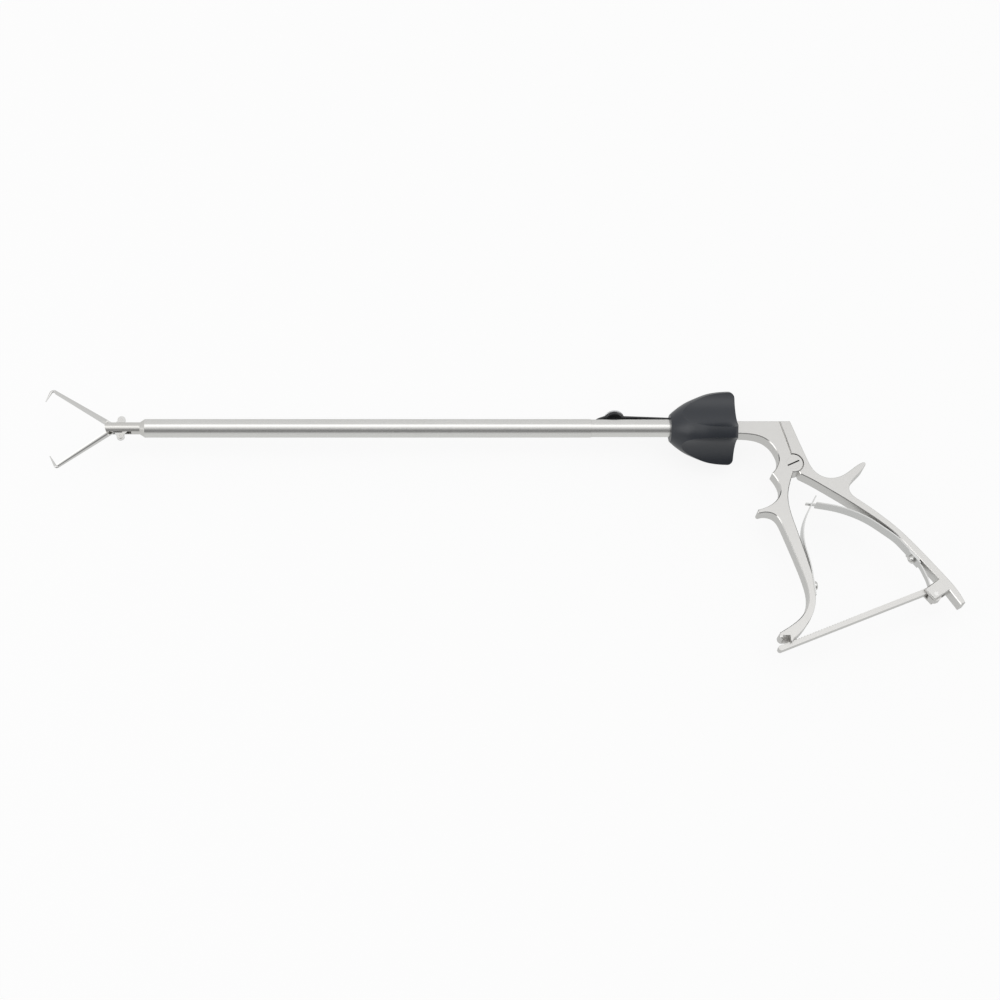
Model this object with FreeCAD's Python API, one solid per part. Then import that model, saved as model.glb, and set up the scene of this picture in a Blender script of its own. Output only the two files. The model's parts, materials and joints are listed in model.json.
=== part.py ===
import FreeCAD, Part
import math
import os

os.makedirs("parts", exist_ok=True)

# Uterine tenaculum grasper, 10 mm shaft. Millimetres.
# Origin: centre of the sheath's front end. +X runs back along the shaft to the handle,
# +Y is the side away from the grips and +Z is square to the flat handles.
# The part is drawn with the handles let go, so the jaws stand open.

# Fits
SNUG = 0.02
RUNNING = 0.05
SIDE_GAP = 0.05
FREE = 0.3

# Sheath and rod
SHEATH_R = 5.0
SHEATH_WALL = 0.5
SHEATH_LENGTH = 239.4
SHEATH_JOINT = 0.2
ROD_R = 1.5
ROD_STROKE = 3.91
GUIDE_LENGTH = 12.0
GUIDE_SPACING = 72.0
GUIDE_COUNT = 3

# Neck that carries the jaws
NECK_R = 3.25
CONE_LENGTH = 2.7
PLUG_LENGTH = 12.0
SLOT_HALF = 1.85
SLOT_BACK_X = -7.2
POCKET_HALF = 2.3
POCKET_END_X = 5.0
NECK_NOSE_R = 4.3
PIVOT_PIN_TOP = 2.4
PIVOT_PIN_BOTTOM = -2.95

# Jaws and links
JAW_PIVOT_X = -17.1
JAW_PIVOT_R = 1.1
UPPER_OPEN = 33.0
LOWER_OPEN = 37.0
SHOULDER = 4.7
ARM_BASE_R = 2.35
ARM_TIP_R = 1.45
UPPER_REACH = 41.3
LOWER_REACH = 38.0
HOOK_REACH = 7.6
HOOK_LEAN = 8.0
UPPER_BEND_R = 1.7
LOWER_BEND_R = 0.9
HOOK_ROOT_R = 0.75
HOOK_ROOT_LENGTH = 2.0
HOOK_POINT_R = 0.2
TAIL_THICK = 1.1
TAIL_BOSS_R = 2.2
TAIL_NECK_HALF = 1.3
EAR_BOSS_R = 2.2
TAIL_RADIUS = 6.65
TAIL_OPEN = 50.0
LINK_LENGTH = 7.0
LINK_THICK = 0.55
LINK_EAR_R = 1.4
LINK_ROD_R = 1.5
LINK_NECK_HALF = 0.8
LINK_PLAY = 0.3
TAIL_PIN_R = 0.6
ROD_PIN_R = 0.6
TONGUE_HALF = 1.08
TONGUE_HEIGHT = 1.6

# Knob and hub
KNOB_FRONT_X = 282.0
KNOB_REAR_X = 315.8
KNOB_R = 19.7
KNOB_FRONT_R = 7.4
KNOB_RIM_R = 2.8
KNOB_BELL = [(0.121, 0.553), (0.26, 0.706), (0.396, 0.812), (0.577, 0.929), (0.76, 0.985)]
RIB_HALF = 2.95
RIB_COUNT = 4
RIB_ANGLE = 121.0
SCALLOP_FLOOR_R = 11.8
HUB_R = 8.5
HUB_TUBE_R = 4.75
HUB_FRONT_X = 291.0
HUB_WALL_X = 297.0
HUB_CAVITY_R = 7.5
FLANGE_FRONT_X = 300.9
FLANGE_THICK = 2.5
FLANGE_R = 7.4
NOSE_R = 5.9
NOSE_FRONT_X = 297.4
RING_THICK = 11.4
WASHER_THICK = 0.5
SEAL_R = 0.8
NOSE_SEAL_R = 0.6
SPIGOT_LENGTH = 10.0

# Release lever beside the sheath
RELEASE_ANGLE = -32.0
RELEASE_WIDTH = 4.4
RELEASE_THICK = 1.4
RELEASE_FRONT_X = 242.6
RELEASE_HINGE_X = 285.5
RELEASE_HINGE_R = 6.15
RELEASE_RISE = 1.9
RELEASE_PIN_R = 0.4
NOSE_LIFT = 0.5
BUTTON_X = 253.0
BUTTON_R = 4.5
RIM_R = 5.55
RIM_THICK = 0.8
BUTTON_DOME = 1.3
RELEASE_SPRING_X = 266.0
RELEASE_SPRING_R = 1.1
RELEASE_WIRE_R = 0.2

# Handles
HANDLE_THICK = 8.5
EDGE_BREAK = 0.4
SEAM_GAP = 0.15
ARM_FRONT_X = 316.3
ARM_TOP_Y = 2.4
ROD_BORE_R = 1.8
PIVOT_X = 345.9
PIVOT_Y = -22.2
EAR_R = 5.3
EAR_GAP = 0.3
BOSS_HALF = 2.5
PIVOT_SHANK_R = 2.0
PIVOT_HEAD_R = 3.5
PIVOT_HEAD_THICK = 1.0
PIVOT_SLOT_WIDTH = 0.8
PIVOT_SLOT_DEPTH = 0.6
PIVOT_SLOT_ANGLE = 25.0
BALL_X = 343.8
BALL_R = 1.9
BALL_NECK_R = 0.9
BALL_NECK_LENGTH = 6.0
SOCKET_FLOOR_Y = -2.3

# Ratchet
BAR_THICK = 2.8
BAR_HALF = 2.2
BAR_END_X = 331.5
BAR_HINGE_X = 413.6
BAR_HINGE_Y = -96.3
BAR_SLOPE = 21.8
BAR_TOP_OFFSET = 5.2
BAR_EYE_R = 3.2
BAR_PIN_R = 1.2
BAR_PIN_HEAD_R = 1.7
TOOTH_PITCH = 1.6
TOOTH_DEPTH = 0.5
TOOTH_COUNT = 24
FIRST_TOOTH = 2.5
BLOCK_SLOT_HALF = 2.35
BLOCK_WALL = 1.6
CATCH_GAP = 0.2
CATCH_AT = 7.5
CATCH_RELIEF = 6.0
FOOT_SLOT_HALF = 2.5
FOOT_POCKET = (332.2, 336.2)
FOOT_POCKET_ROOF_Y = -118.9

# Leaf springs
LEAF_THICK = 0.65
LEAF_HALF = 3.7
LEAF_TONGUE_HALF = 1.2
TONGUE_PLAY = 1.2
SPRING_HEAD_R = 2.4
SPRING_HEAD_THICK = 1.9
SPRING_SHANK_R = 1.2
SPRING_SHANK_DEPTH = 2.2
SPRING_SLOT_WIDTH = 0.6
SPRING_SLOT_DEPTH = 0.5

# Outline points of the handles, read off the flat faces
SEAM_TOP = (340.4, ARM_TOP_Y)
SEAM_FOOT = (345.2, -17.0)
ARM_UNDER = [(ARM_FRONT_X, -4.9), (322.6, -5.2), (327.5, -6.0), (331.4, -7.6), (335.1, -10.9),
             (337.6, -15.5), (338.4, -19.8), (337.2, -23.9), (334.1, -28.1)]
CUSP_CURVE = [(334.1, -28.1), (336.6, -32.2), (337.9, -37.2), (336.0, -42.6), (331.9, -46.3),
              (326.0, -48.8)]
HOOK_TIP = [(326.0, -48.8), (324.9, -49.6), (325.0, -50.6), (326.2, -51.1)]
GRIP_FRONT = [(326.2, -51.1), (330.2, -50.7), (333.9, -52.2), (336.2, -55.6), (338.1, -61.0),
              (340.7, -69.0), (344.1, -80.0), (346.6, -89.5), (347.5, -97.0), (346.4, -103.0),
              (341.8, -109.8), (336.5, -114.0), (332.0, -116.9)]
FOOT_TOE = [(332.0, -116.9), (330.6, -118.5), (331.2, -120.2), (333.2, -120.9)]
FOOT_SOLE = [(333.2, -120.9), (335.4, -121.0)]
FOOT_HEEL = [(335.4, -121.0), (336.4, -122.5), (337.8, -121.0)]
GRIP_REAR = [(337.8, -121.0), (342.9, -116.2), (347.9, -109.0), (350.6, -101.5), (351.1, -96.5)]
FRONT_PAD = [(351.1, -96.5), (350.4, -85.5)]
GRIP_UPPER = [(350.4, -85.5), (347.3, -71.5), (344.2, -58.8), (341.9, -48.5), (341.6, -40.5),
              (343.2, -33.5), (345.3, -27.6)]
LEVER_TOP = (346.1, ARM_TOP_Y)
LEVER_OUTER = [LEVER_TOP, (349.4, -7.7), (352.9, -18.2), (356.6, -26.4), (361.5, -30.1),
               (366.5, -30.7), (372.6, -28.6), (378.3, -24.4), (382.7, -21.8)]
SPUR_TIP = [(382.7, -21.8), (384.0, -21.9), (384.1, -23.2)]
SPUR_BACK = [(384.1, -23.2), (379.4, -29.0), (375.3, -33.8), (374.2, -37.2), (375.7, -40.6),
             (378.3, -42.9), (384.3, -47.6), (390.8, -53.1), (398.3, -60.3), (405.2, -68.2),
             (412.3, -77.1), (419.4, -86.3), (424.0, -92.8), (428.0, -101.2)]
LEVER_END = [(428.0, -101.2), (425.7, -102.4)]
LEVER_HEEL = [(420.6, -94.3), (425.7, -102.4)]
REAR_PAD = [(399.0, -66.2), (415.9, -88.0)]
LEVER_BLOCK = [REAR_PAD[1], (407.8, -93.7), (412.5, -99.5), (420.6, -94.3)]
LEVER_INNER = [(399.0, -66.2), (394.4, -61.1), (387.0, -54.6), (379.6, -48.9), (372.0, -43.3),
               (362.5, -36.8), (353.5, -31.0), (349.2, -28.6)]
FRONT_LEAF_RUN = [(349.6, -76.0), (348.2, -69.0), (347.9, -62.0), (349.8, -53.6), (353.0, -47.0),
                  (356.4, -40.8)]
REAR_LEAF_RUN = [(391.6, -59.9), (383.6, -53.9), (375.6, -49.7), (366.8, -46.7), (356.4, -44.7)]
REAR_TONGUE_RUN = [(356.4, -44.7), (354.4, -44.5), (351.2, -44.1)]
RATCHET_LEAF_RUN = [(409.4, -83.0), (410.9, -87.4), (411.6, -90.9)]
FRONT_SCREW_AT = 0.55
REAR_SCREW_AT = 0.38
REAR_LEAF_END = 0.5
RATCHET_LEAF_REACH = (0.24, 0.55)


def vec(x, y, z=0.0):
    return FreeCAD.Vector(x, y, z)


AXIS_X = vec(1, 0, 0)
AXIS_Y = vec(0, 1, 0)
AXIS_Z = vec(0, 0, 1)


def save(shape, node):
    shape.exportStep("parts/" + node + ".step")


def fuse(*shapes):
    """One solid from several that meet or overlap, with the seams between flush faces removed."""
    return shapes[0].fuse(list(shapes[1:])).removeSplitter()


def run_edge(points, z, ways=None):
    """A straight edge through two points, or a smooth curve through more, which may leave and
    arrive along two given ways."""
    corners = [vec(x, y, z) for x, y in points]
    if len(corners) == 2:
        return Part.LineSegment(corners[0], corners[1]).toShape()
    curve = Part.BSplineCurve()
    if ways:
        curve.interpolate(Points=corners, InitialTangent=vec(*ways[0]), FinalTangent=vec(*ways[1]))
    else:
        curve.interpolate(corners)
    return curve.toShape()


def way_of(line):
    """The way from a line's first point to its last."""
    return (line[-1][0] - line[0][0], line[-1][1] - line[0][1])


def polyline_runs(points):
    return [[a, b] for a, b in zip(points, points[1:])]


def plate(runs, half, eased=None):
    """A flat plate from a closed chain of edge runs, its thickness centred on the handles' mid-plane.
    Eased gives, by run number, the ways a curved run leaves and arrives."""
    wire = Part.Wire([run_edge(points, -half, (eased or {}).get(number)) for number, points in enumerate(runs)])
    return Part.Face(wire).extrude(vec(0, 0, 2 * half))


def slab(points, z_low, z_high):
    """A straight-sided prism along Z from its corner points."""
    corners = [vec(x, y, z_low) for x, y in points]
    return Part.Face(Part.makePolygon(corners + corners[:1])).extrude(vec(0, 0, z_high - z_low))


def disc_z(radius, z_low, z_high, x, y):
    return Part.makeCylinder(radius, z_high - z_low, vec(x, y, z_low), AXIS_Z)


def rod_x(radius, x_front, x_rear):
    return Part.makeCylinder(radius, x_rear - x_front, vec(x_front, 0, 0), AXIS_X)


def tube_x(outer, inner, x_front, x_rear):
    return rod_x(outer, x_front, x_rear).cut(rod_x(inner, x_front, x_rear))


def ring_x(x, ring_radius, wire_radius):
    return Part.makeTorus(ring_radius, wire_radius, vec(x, 0, 0), AXIS_X)


def break_edges(shape, half, size):
    """Chamfers every edge that lies in one of the two flat faces."""
    flat = []
    for edge in shape.Edges:
        heights = [vertex.Z for vertex in edge.Vertexes]
        if all(abs(abs(height) - half) < 1e-6 for height in heights) and abs(heights[0] - heights[-1]) < 1e-6:
            flat.append(edge)
    return shape.makeChamfer(size, flat)


def link_outline(centre_a, radius_a, centre_b, radius_b, neck_half, z_low, z_high):
    """Two round ends joined by a straight bar."""
    dx = centre_b[0] - centre_a[0]
    dy = centre_b[1] - centre_a[1]
    length = math.hypot(dx, dy)
    side = (-dy / length * neck_half, dx / length * neck_half)
    bar = slab([(centre_a[0] + side[0], centre_a[1] + side[1]),
                (centre_b[0] + side[0], centre_b[1] + side[1]),
                (centre_b[0] - side[0], centre_b[1] - side[1]),
                (centre_a[0] - side[0], centre_a[1] - side[1])], z_low, z_high)
    return fuse(disc_z(radius_a, z_low, z_high, *centre_a), bar, disc_z(radius_b, z_low, z_high, *centre_b))


# Jaw linkage at rest. The upper jaw's tail runs to the lower ear and the other way round.
JAW_PIVOT = (JAW_PIVOT_X, 0.0)
EAR_X = JAW_PIVOT_X + TAIL_RADIUS * math.cos(math.radians(TAIL_OPEN))
EAR_Y = TAIL_RADIUS * math.sin(math.radians(TAIL_OPEN))
ROD_PIN_X = EAR_X + math.sqrt(LINK_LENGTH ** 2 - EAR_Y ** 2)
TAIL_LOW = SIDE_GAP
TAIL_HIGH = TAIL_LOW + TAIL_THICK
LINK_LOW = TAIL_HIGH + SIDE_GAP
LINK_HIGH = LINK_LOW + LINK_THICK
SHEATH_BORE_R = SHEATH_R - SHEATH_WALL
ROD_FRONT_X = POCKET_END_X - ROD_STROKE - FREE
ROD_BACK_X = BALL_X - BALL_NECK_LENGTH


def half_round(x, radius):
    """Section of a jaw arm: flat on the grasping side at Y 0, half round on its back."""
    flat = Part.LineSegment(vec(x, 0, -radius), vec(x, 0, radius)).toShape()
    back = Part.Arc(vec(x, 0, radius), vec(x, radius, 0), vec(x, 0, -radius)).toShape()
    return Part.Wire([flat, back])


def hook(reach, bend_r):
    """A claw that leaves the arm's end, bends inwards and tapers to its blunt point."""
    turn = 90.0 + HOOK_LEAN
    start = vec(bend_r + HOOK_ROOT_R - reach, HOOK_ROOT_R)
    hub = start + vec(0, -bend_r)
    root = Part.makeCylinder(HOOK_ROOT_R, HOOK_ROOT_LENGTH, start, AXIS_X)
    ring = Part.Face(Part.Wire(Part.makeCircle(HOOK_ROOT_R, start, AXIS_X)))
    bend = ring.revolve(hub, AXIS_Z, turn)
    heading = vec(math.cos(math.radians(180 + turn)), math.sin(math.radians(180 + turn)))
    across = vec(math.cos(math.radians(90 + turn)), math.sin(math.radians(90 + turn)))
    claw_from = hub + across * bend_r
    claw = Part.makeCone(HOOK_ROOT_R, HOOK_POINT_R, HOOK_REACH - bend_r, claw_from, heading)
    return fuse(root, bend, claw)


def jaw(reach, bend_r, opened, side):
    """A jaw drawn closed on the shaft's axis, then swung open. Side is 1 for the upper jaw, -1 for the lower."""
    arm_end = bend_r + HOOK_ROOT_R - reach
    arm = Part.makeLoft([half_round(arm_end, ARM_TIP_R), half_round(-SHOULDER, ARM_BASE_R)], True)
    tail_angle = math.radians(TAIL_OPEN - opened)
    ear = (TAIL_RADIUS * math.cos(tail_angle), -TAIL_RADIUS * math.sin(tail_angle))
    low, high = (TAIL_LOW, TAIL_HIGH) if side > 0 else (-TAIL_HIGH, -TAIL_LOW)
    tail = link_outline((0, 0), TAIL_BOSS_R, ear, EAR_BOSS_R, TAIL_NECK_HALF, low, high)
    root = slab([(-SHOULDER - 3.0, SNUG), (0, -TAIL_NECK_HALF), (0, TAIL_BOSS_R),
                 (-SHOULDER - 3.0, ARM_BASE_R * 0.8)], low, high)
    shape = fuse(arm, hook(reach, bend_r), root, tail)
    shape = shape.cut(disc_z(JAW_PIVOT_R + RUNNING, low - 1, high + 1, 0, 0))
    shape = shape.cut(disc_z(TAIL_PIN_R + SNUG, low - 1, high + 1, *ear))
    if side < 0:
        shape = shape.mirror(vec(0, 0, 0), AXIS_Y)
    shape.rotate(vec(0, 0, 0), AXIS_Z, -side * opened)
    shape.translate(vec(JAW_PIVOT_X, 0))
    return shape


def jaw_clevis():
    """Round slotted neck: two cheeks for the jaw pivot, a cone and a plug in the sheath."""
    neck_back = -CONE_LENGTH
    body = fuse(rod_x(NECK_R, JAW_PIVOT_X - NECK_NOSE_R, neck_back),
                Part.makeCone(NECK_R, SHEATH_R, CONE_LENGTH, vec(neck_back, 0, 0), AXIS_X),
                rod_x(SHEATH_BORE_R - SNUG, 0, PLUG_LENGTH))
    keep = fuse(disc_z(NECK_NOSE_R, -NECK_R, NECK_R, *JAW_PIVOT),
                Part.makeBox(PLUG_LENGTH - JAW_PIVOT_X, 4 * SHEATH_R, 4 * SHEATH_R,
                             vec(JAW_PIVOT_X, -2 * SHEATH_R, -2 * SHEATH_R)))
    body = body.common(keep)
    front = JAW_PIVOT_X - 2 * NECK_NOSE_R
    pocket = Part.makeBox(POCKET_END_X - front, 2 * POCKET_HALF, 2 * SLOT_HALF, vec(front, -POCKET_HALF, -SLOT_HALF))
    bore = rod_x(ROD_R + RUNNING, 0, PLUG_LENGTH)
    pivot = disc_z(JAW_PIVOT_R + SNUG, -NECK_R, PIVOT_PIN_TOP, *JAW_PIVOT)
    body = body.cut(fuse(pocket, bore)).cut(pivot)
    for side in (1, -1):
        arm_way = half_slot(front, JAW_PIVOT_X + TAIL_BOSS_R, side, side)
        tail_way = half_slot(JAW_PIVOT_X - TAIL_BOSS_R, SLOT_BACK_X, side, -side)
        body = body.cut(arm_way).cut(tail_way)
    return body


def half_slot(x_front, x_back, z_side, y_side):
    """Room in one half of the slot, open on one side of the neck only."""
    y_low = 0 if y_side > 0 else -2 * NECK_R
    z_low = 0 if z_side > 0 else -SLOT_HALF
    return Part.makeBox(x_back - x_front, 2 * NECK_R, SLOT_HALF, vec(x_front, y_low, z_low))


def link(side):
    """Flat link from a tail's ear to the rod pin. Its rod hole has play for the jaws' uneven travel."""
    low, high = (LINK_LOW, LINK_HIGH) if side > 0 else (-LINK_HIGH, -LINK_LOW)
    ear = (EAR_X, -side * EAR_Y)
    rod_end = (ROD_PIN_X, 0.0)
    body = link_outline(ear, LINK_EAR_R, rod_end, LINK_ROD_R, LINK_NECK_HALF, low, high)
    body = body.cut(disc_z(TAIL_PIN_R + RUNNING, low - 1, high + 1, *ear))
    return body.cut(disc_z(ROD_PIN_R + LINK_PLAY, low - 1, high + 1, *rod_end))


def tail_pin(side):
    low, high = (TAIL_LOW, LINK_HIGH) if side > 0 else (-LINK_HIGH, -TAIL_LOW)
    return disc_z(TAIL_PIN_R, low, high, EAR_X, -side * EAR_Y)


def rod_tongue():
    """Flat eye between the two links, with a round tang brazed on the rod."""
    eye = disc_z(TONGUE_HEIGHT, -TONGUE_HALF, TONGUE_HALF, ROD_PIN_X, 0)
    blade = Part.makeBox(ROD_FRONT_X - ROD_PIN_X, 2 * TONGUE_HEIGHT, 2 * TONGUE_HALF,
                         vec(ROD_PIN_X, -TONGUE_HEIGHT, -TONGUE_HALF))
    return fuse(eye, blade).cut(disc_z(ROD_PIN_R + SNUG, -TONGUE_HALF, TONGUE_HALF, ROD_PIN_X, 0))


def save_front_end():
    save(jaw(UPPER_REACH, UPPER_BEND_R, UPPER_OPEN, 1), "jaw_upper")
    save(jaw(LOWER_REACH, LOWER_BEND_R, LOWER_OPEN, -1), "jaw_lower")
    save(jaw_clevis(), "jaw_clevis")
    save(disc_z(JAW_PIVOT_R, PIVOT_PIN_BOTTOM, PIVOT_PIN_TOP, *JAW_PIVOT), "jaw_pivot_pin")
    save(link(1), "link_upper")
    save(link(-1), "link_lower")
    save(tail_pin(1), "upper_tail_pin")
    save(tail_pin(-1), "lower_tail_pin")
    save(rod_tongue(), "rod_tongue")
    save(disc_z(ROD_PIN_R, -LINK_HIGH, LINK_HIGH, ROD_PIN_X, 0), "rod_pin")
    save(rod_x(ROD_R, ROD_FRONT_X, ROD_BACK_X), "pull_rod")
    neck = rod_x(BALL_NECK_R, ROD_BACK_X, BALL_X)
    save(fuse(neck, Part.makeSphere(BALL_R, vec(BALL_X, 0, 0))), "rod_ball")


def save_sheath():
    save(tube_x(SHEATH_R, SHEATH_BORE_R, 0, SHEATH_LENGTH), "outer_tube")
    guides = []
    for number in range(GUIDE_COUNT):
        front = PLUG_LENGTH + (number + 0.5) * GUIDE_SPACING
        guides.append(tube_x(SHEATH_BORE_R - SNUG, ROD_R + RUNNING, front, front + GUIDE_LENGTH))
    save(Part.makeCompound(guides), "rod_guides")


HUB_BACK_X = FLANGE_FRONT_X + FLANGE_THICK + WASHER_THICK + 2 * SIDE_GAP
SEAL_X = (HUB_FRONT_X + HUB_WALL_X) / 2


def sheath_hub():
    """Tube that meets the sheath end to end, opened out behind into the cup that turns on the nose."""
    tube_front = SHEATH_LENGTH + SHEATH_JOINT
    spigot_r = SHEATH_BORE_R - SNUG
    body = fuse(tube_x(spigot_r, spigot_r - SHEATH_WALL, SHEATH_LENGTH - SPIGOT_LENGTH, HUB_FRONT_X),
                tube_x(HUB_TUBE_R, spigot_r - SHEATH_WALL, tube_front, HUB_FRONT_X),
                rod_x(HUB_R, HUB_FRONT_X, HUB_BACK_X))
    body = body.cut(rod_x(ROD_R + RUNNING, HUB_FRONT_X - 1, HUB_WALL_X + 1))
    body = body.cut(rod_x(NOSE_R + RUNNING, HUB_WALL_X, HUB_BACK_X))
    body = body.cut(rod_x(HUB_CAVITY_R, FLANGE_FRONT_X - SIDE_GAP, HUB_BACK_X))
    return body.cut(ring_x(SEAL_X, ROD_R + RUNNING + SEAL_R, SEAL_R + SNUG))


def knob():
    """Four ribs on a bell-shaped body, bored through for the hub and the ring nut."""
    bore_front = HUB_TUBE_R + SNUG
    shoulder_x = KNOB_REAR_X - KNOB_RIM_R
    back = [(KNOB_FRONT_X, KNOB_FRONT_R)]
    for along, out in KNOB_BELL:
        back.append((KNOB_FRONT_X + along * (KNOB_REAR_X - KNOB_FRONT_X), out * KNOB_R))
    back.append((shoulder_x, KNOB_R))
    edges = [Part.LineSegment(vec(KNOB_FRONT_X, 0), vec(KNOB_FRONT_X, KNOB_FRONT_R)).toShape(),
             run_edge(back, 0.0),
             Part.Arc(vec(shoulder_x, KNOB_R),
                      vec(shoulder_x + KNOB_RIM_R * 0.707, KNOB_R - KNOB_RIM_R * 0.293),
                      vec(KNOB_REAR_X, KNOB_R - KNOB_RIM_R)).toShape(),
             Part.LineSegment(vec(KNOB_REAR_X, KNOB_R - KNOB_RIM_R), vec(KNOB_REAR_X, 0)).toShape(),
             Part.LineSegment(vec(KNOB_REAR_X, 0), vec(KNOB_FRONT_X, 0)).toShape()]
    body = Part.Face(Part.Wire(edges)).revolve(vec(0, 0, 0), AXIS_X, 360)
    body = Part.Solid(body) if body.ShapeType == "Shell" else body
    half_angle = math.radians(180.0 / RIB_COUNT) - math.asin(RIB_HALF / KNOB_R)
    half_chord = KNOB_R * math.sin(half_angle)
    sagitta = KNOB_R * math.cos(half_angle) - SCALLOP_FLOOR_R
    scallop_r = (half_chord ** 2 + sagitta ** 2) / (2 * sagitta)
    for number in range(RIB_COUNT):
        angle = math.radians(RIB_ANGLE + (number + 0.5) * 360.0 / RIB_COUNT)
        reach = SCALLOP_FLOOR_R + scallop_r
        centre = vec(KNOB_FRONT_X - 1, reach * math.cos(angle), reach * math.sin(angle))
        body = body.cut(Part.makeCylinder(scallop_r, KNOB_REAR_X - KNOB_FRONT_X + 2, centre, AXIS_X))
    body = body.cut(rod_x(bore_front, KNOB_FRONT_X - 1, HUB_FRONT_X))
    body = body.cut(rod_x(HUB_R + SNUG, HUB_FRONT_X, KNOB_REAR_X + 1))
    return body.cut(release_pocket())


def turned(shape):
    """Turns a shape drawn above the shaft to the release lever's place beside it."""
    shape.rotate(vec(0, 0, 0), AXIS_X, RELEASE_ANGLE)
    return shape


def release_pocket():
    """Slot in the knob's front that the release lever tilts in, with the hole for its pin."""
    half = RELEASE_WIDTH / 2 + FREE
    depth = HUB_FRONT_X - KNOB_FRONT_X
    slot = Part.makeBox(depth, RELEASE_THICK + 4 * FREE, 2 * half,
                        vec(KNOB_FRONT_X - 1, HUB_TUBE_R, -half))
    pin = Part.makeCylinder(RELEASE_PIN_R + SNUG, 4 * half, vec(RELEASE_HINGE_X, RELEASE_HINGE_R, -2 * half), AXIS_Z)
    return turned(fuse(slot, pin))


def release_lever():
    """Thin lever that leaves the knob, rises a little to the button and ends in a bevelled nose."""
    half = RELEASE_WIDTH / 2
    hinge_y = RELEASE_HINGE_R - RELEASE_THICK / 2
    back_x = RELEASE_HINGE_X + RELEASE_THICK
    button_y = hinge_y + RELEASE_RISE
    nose_y = HUB_TUBE_R + NOSE_LIFT
    side = [(back_x, hinge_y), (BUTTON_X + RIM_R, button_y), (BUTTON_X - RIM_R, button_y),
            (RELEASE_FRONT_X + RELEASE_THICK, nose_y), (RELEASE_FRONT_X, nose_y),
            (RELEASE_FRONT_X + RELEASE_THICK, nose_y + RELEASE_THICK),
            (BUTTON_X - RIM_R, button_y + RELEASE_THICK), (BUTTON_X + RIM_R, button_y + RELEASE_THICK),
            (back_x, hinge_y + RELEASE_THICK)]
    body = slab(side, -half, half)
    pad = Part.makeCylinder(BUTTON_R, RELEASE_THICK, vec(BUTTON_X, button_y, 0), AXIS_Y)
    hole = Part.makeCylinder(RELEASE_PIN_R + RUNNING, 4 * half,
                             vec(RELEASE_HINGE_X, RELEASE_HINGE_R, -2 * half), AXIS_Z)
    return turned(fuse(body, pad).cut(hole))


BUTTON_BASE_R = RELEASE_HINGE_R + RELEASE_THICK / 2 + RELEASE_RISE


def button_rim():
    rim = Part.makeCylinder(RIM_R, RIM_THICK, vec(BUTTON_X, BUTTON_BASE_R, 0), AXIS_Y)
    rim = rim.makeChamfer(0.25, [edge for edge in rim.Edges if edge.Length > 6 * RIM_R])
    return turned(rim.cut(Part.makeCylinder(BUTTON_R, RIM_THICK, vec(BUTTON_X, BUTTON_BASE_R, 0), AXIS_Y)))


def release_button():
    """Round thumb button: a low dome that stands out of the rim."""
    base = Part.makeCylinder(BUTTON_R - SNUG, RIM_THICK, vec(BUTTON_X, BUTTON_BASE_R, 0), AXIS_Y)
    dome_r = (BUTTON_R ** 2 + BUTTON_DOME ** 2) / (2 * BUTTON_DOME)
    centre_y = BUTTON_BASE_R + RIM_THICK + BUTTON_DOME - dome_r
    ball = Part.makeSphere(dome_r, vec(BUTTON_X, centre_y, 0))
    cap = Part.makeCylinder(BUTTON_R - SNUG, RIM_THICK + BUTTON_DOME, vec(BUTTON_X, BUTTON_BASE_R, 0), AXIS_Y)
    return turned(fuse(base, cap.common(ball)))


def shaft_skin(x):
    """Radius of the shaft's outside at a place along it: the sheath's, or the hub tube's behind it."""
    return SHEATH_R if x < SHEATH_LENGTH else HUB_TUBE_R


def release_spring():
    """Coil spring between the shaft and the release lever, as the plain sleeve that it fills."""
    low = shaft_skin(RELEASE_SPRING_X - RELEASE_SPRING_R) + SIDE_GAP
    slope = RELEASE_RISE / (RELEASE_HINGE_X - BUTTON_X - RIM_R)
    high = RELEASE_HINGE_R - RELEASE_THICK / 2 + slope * (RELEASE_HINGE_X - RELEASE_SPRING_X) - SIDE_GAP
    outer = Part.makeCylinder(RELEASE_SPRING_R, high - low, vec(RELEASE_SPRING_X, low, 0), AXIS_Y)
    inner = Part.makeCylinder(RELEASE_SPRING_R - 2 * RELEASE_WIRE_R, high - low, vec(RELEASE_SPRING_X, low, 0), AXIS_Y)
    return turned(outer.cut(inner))


def save_knob():
    save(sheath_hub(), "sheath_hub")
    save(knob(), "knob")
    save(ring_x(SEAL_X, ROD_R + RUNNING + SEAL_R, SEAL_R), "rod_seal")
    save(tube_x(HUB_R, NOSE_R + RUNNING, HUB_BACK_X, KNOB_REAR_X), "ring_nut")
    save(release_lever(), "release_lever")
    save(release_button(), "release_button")
    save(button_rim(), "button_rim")
    half = RELEASE_WIDTH / 2 + FREE
    pin = Part.makeCylinder(RELEASE_PIN_R, 3 * half, vec(RELEASE_HINGE_X, RELEASE_HINGE_R, -1.5 * half), AXIS_Z)
    save(turned(pin), "release_pin")
    save(release_spring(), "release_spring")


HALF = HANDLE_THICK / 2
PIVOT = (PIVOT_X, PIVOT_Y)
MID_R = EAR_R + EAR_GAP


def bar_point(along, above):
    """A point of the ratchet bar, measured from its hinge along the bar and above its top face."""
    angle = math.radians(180.0 + BAR_SLOPE)
    forward = (math.cos(angle), math.sin(angle))
    up = (-math.sin(math.radians(BAR_SLOPE)), math.cos(math.radians(BAR_SLOPE)))
    rise = BAR_TOP_OFFSET + above
    return (BAR_HINGE_X + along * forward[0] + rise * up[0], BAR_HINGE_Y + along * forward[1] + rise * up[1])


BAR_LENGTH = (BAR_HINGE_X - BAR_END_X) / math.cos(math.radians(BAR_SLOPE))


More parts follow.
